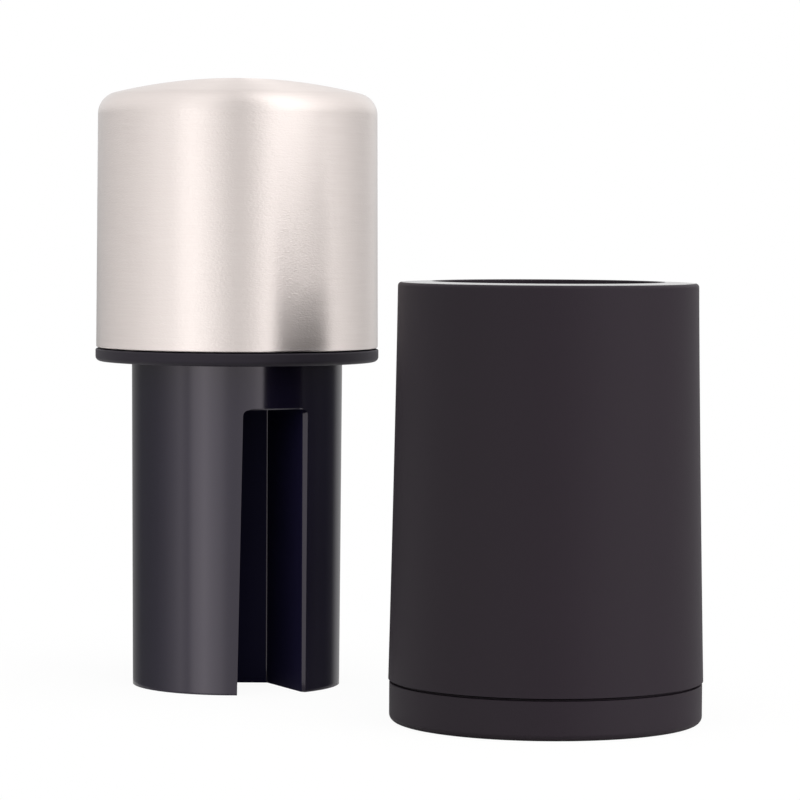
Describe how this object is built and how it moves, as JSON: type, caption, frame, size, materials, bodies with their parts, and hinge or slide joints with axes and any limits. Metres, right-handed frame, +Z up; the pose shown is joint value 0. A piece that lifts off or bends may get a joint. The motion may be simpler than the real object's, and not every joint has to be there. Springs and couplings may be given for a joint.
{
  "type": "twist-top nutmeg mill",
  "caption": "Twist-top nutmeg mill, taken apart: steel-capped head on a slotted column, beside a flared body with a curved grating blade and a powder base.",
  "frame": {"origin": "centre of the mill body's flat underside, on the table, on the body's axis", "axes": "+Z up along the mill body's axis, -Y towards the viewer of the picture, +X to the viewer's right; the head stands at -X, +Y"},
  "size_m": [0.1205, 0.1145, 0.1239],
  "materials": {
    "soft_touch": "soft-touch painted ABS, very dark aubergine, matte",
    "silicone": "moulded silicone, matte",
    "inner_abs": "moulded ABS, satin black",
    "etched_steel": "photo-etched stainless sheet, bright",
    "plated_steel": "zinc-plated steel",
    "gloss_abs": "moulded ABS, high gloss black",
    "matte_ring": "moulded acetal, matte charcoal",
    "core_abs": "moulded ABS, natural",
    "brushed_cap": "drawn stainless steel, brushed round"
  },
  "bodies": {
    "base": {"base_cap": "soft_touch", "seal_ring": "silicone"},
    "mill_body": {"outer_body": "soft_touch", "blade_sleeve": "inner_abs", "grater_blade": "etched_steel", "blade_rivet_1": "plated_steel", "blade_rivet_2": "plated_steel", "blade_rivet_3": "plated_steel", "blade_rivet_4": "plated_steel", "blade_rivet_5": "plated_steel", "blade_rivet_6": "plated_steel", "sleeve_screw_1": "plated_steel", "sleeve_screw_2": "plated_steel", "sleeve_screw_3": "plated_steel"},
    "ring": {"seat_ring": "matte_ring"},
    "head": {"chamber_column": "gloss_abs", "cap_core": "core_abs", "steel_cap": "brushed_cap", "column_screw_1": "plated_steel", "column_screw_2": "plated_steel", "column_screw_3": "plated_steel"}
  },
  "joints": [
    {"name": "body_lift", "type": "slide", "parent": "base", "child": "mill_body", "axis": [0, 0, 1], "range_m": [0, 0.03]},
    {"name": "head_lift", "type": "slide", "parent": "base", "child": "ring", "axis": [0, 0, 1], "range_m": [0, 0.12]},
    {"name": "head_turn", "type": "hinge", "parent": "ring", "child": "head", "pos_m": [-0.0615, 0.0555, 0.06895], "axis": [0, 0, -1], "continuous": true}
  ]
}
